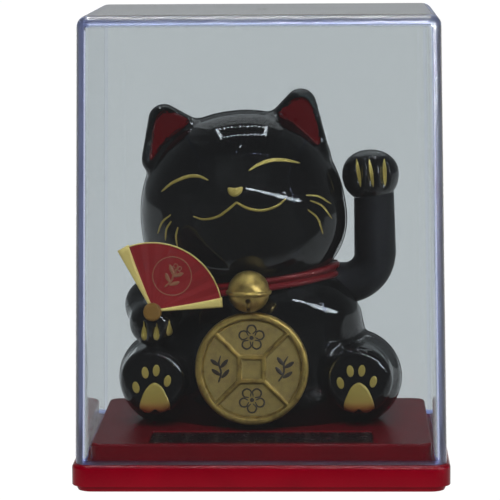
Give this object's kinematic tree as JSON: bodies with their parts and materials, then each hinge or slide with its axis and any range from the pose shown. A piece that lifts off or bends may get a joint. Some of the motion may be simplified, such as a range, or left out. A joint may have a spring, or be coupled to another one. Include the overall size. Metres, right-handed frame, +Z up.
{
  "type": "beckoning cat figurine",
  "caption": "Seated beckoning cat with a swinging raised arm, coin, bell and fan, on a solar base under a clear lift-off case.",
  "frame": {"origin": "centre of the base's underside, on the surface that it stands on", "axes": "+Z up; -Y is the side the cat faces; +X is the side of the waving arm"},
  "size_m": [0.087, 0.07, 0.109],
  "materials": {
    "clear_plastic": "clear polished polystyrene",
    "red_plastic": "moulded red plastic, satin to gloss",
    "black_gloss": "polished black plastic",
    "black_matte": "matt black plastic",
    "collar_red": "red paint",
    "fan_red": "satin red paint with gold trim",
    "gold_paint": "metallic gold paint",
    "cell_glass": "dark resin-faced solar cell",
    "board_green": "solder resist",
    "chip_black": "moulded epoxy",
    "capacitor_sleeve": "shrink sleeve",
    "copper_wire": "enamelled copper winding",
    "lead_red": "PVC insulation",
    "lead_black": "PVC insulation",
    "white_plastic": "moulded plastic",
    "screw_steel": "zinc-plated steel",
    "magnet_nickel": "nickel plate",
    "weight_steel": "raw steel"
  },
  "bodies": {
    "base": {"base_housing": "red_plastic", "bottom_cover": "red_plastic", "cover_screws": "screw_steel", "solar_cell": "cell_glass", "circuit_board": "board_green", "driver_chip": "chip_black", "capacitor": "capacitor_sleeve", "board_screws": "screw_steel", "coil_bobbin": "white_plastic", "coil": "copper_wire", "solar_leads": "lead_red", "coil_leads": "lead_black", "pivot_cradle": "white_plastic", "cradle_screws": "screw_steel", "body_front": "black_gloss", "body_rear": "black_gloss", "body_screws": "screw_steel", "collar": "collar_red", "bell": "gold_paint", "coin": "gold_paint", "fan": "fan_red", "head_front": "black_gloss", "head_rear": "black_gloss"},
    "arm": {"waving_arm": "black_matte", "waving_paw": "black_gloss", "axle": "screw_steel", "pendulum": "white_plastic", "magnet": "magnet_nickel", "counterweight": "weight_steel"},
    "case": {"clear_case": "clear_plastic"}
  },
  "joints": [
    {"name": "arm_wave", "type": "hinge", "parent": "base", "child": "arm", "pos_m": [0, 0.005, 0.0432], "axis": [1, 0, 0], "range_deg": [-16, 16]},
    {"name": "case_lift", "type": "slide", "parent": "base", "child": "case", "axis": [0, 0, 1], "range_m": [0, 0.11]}
  ]
}
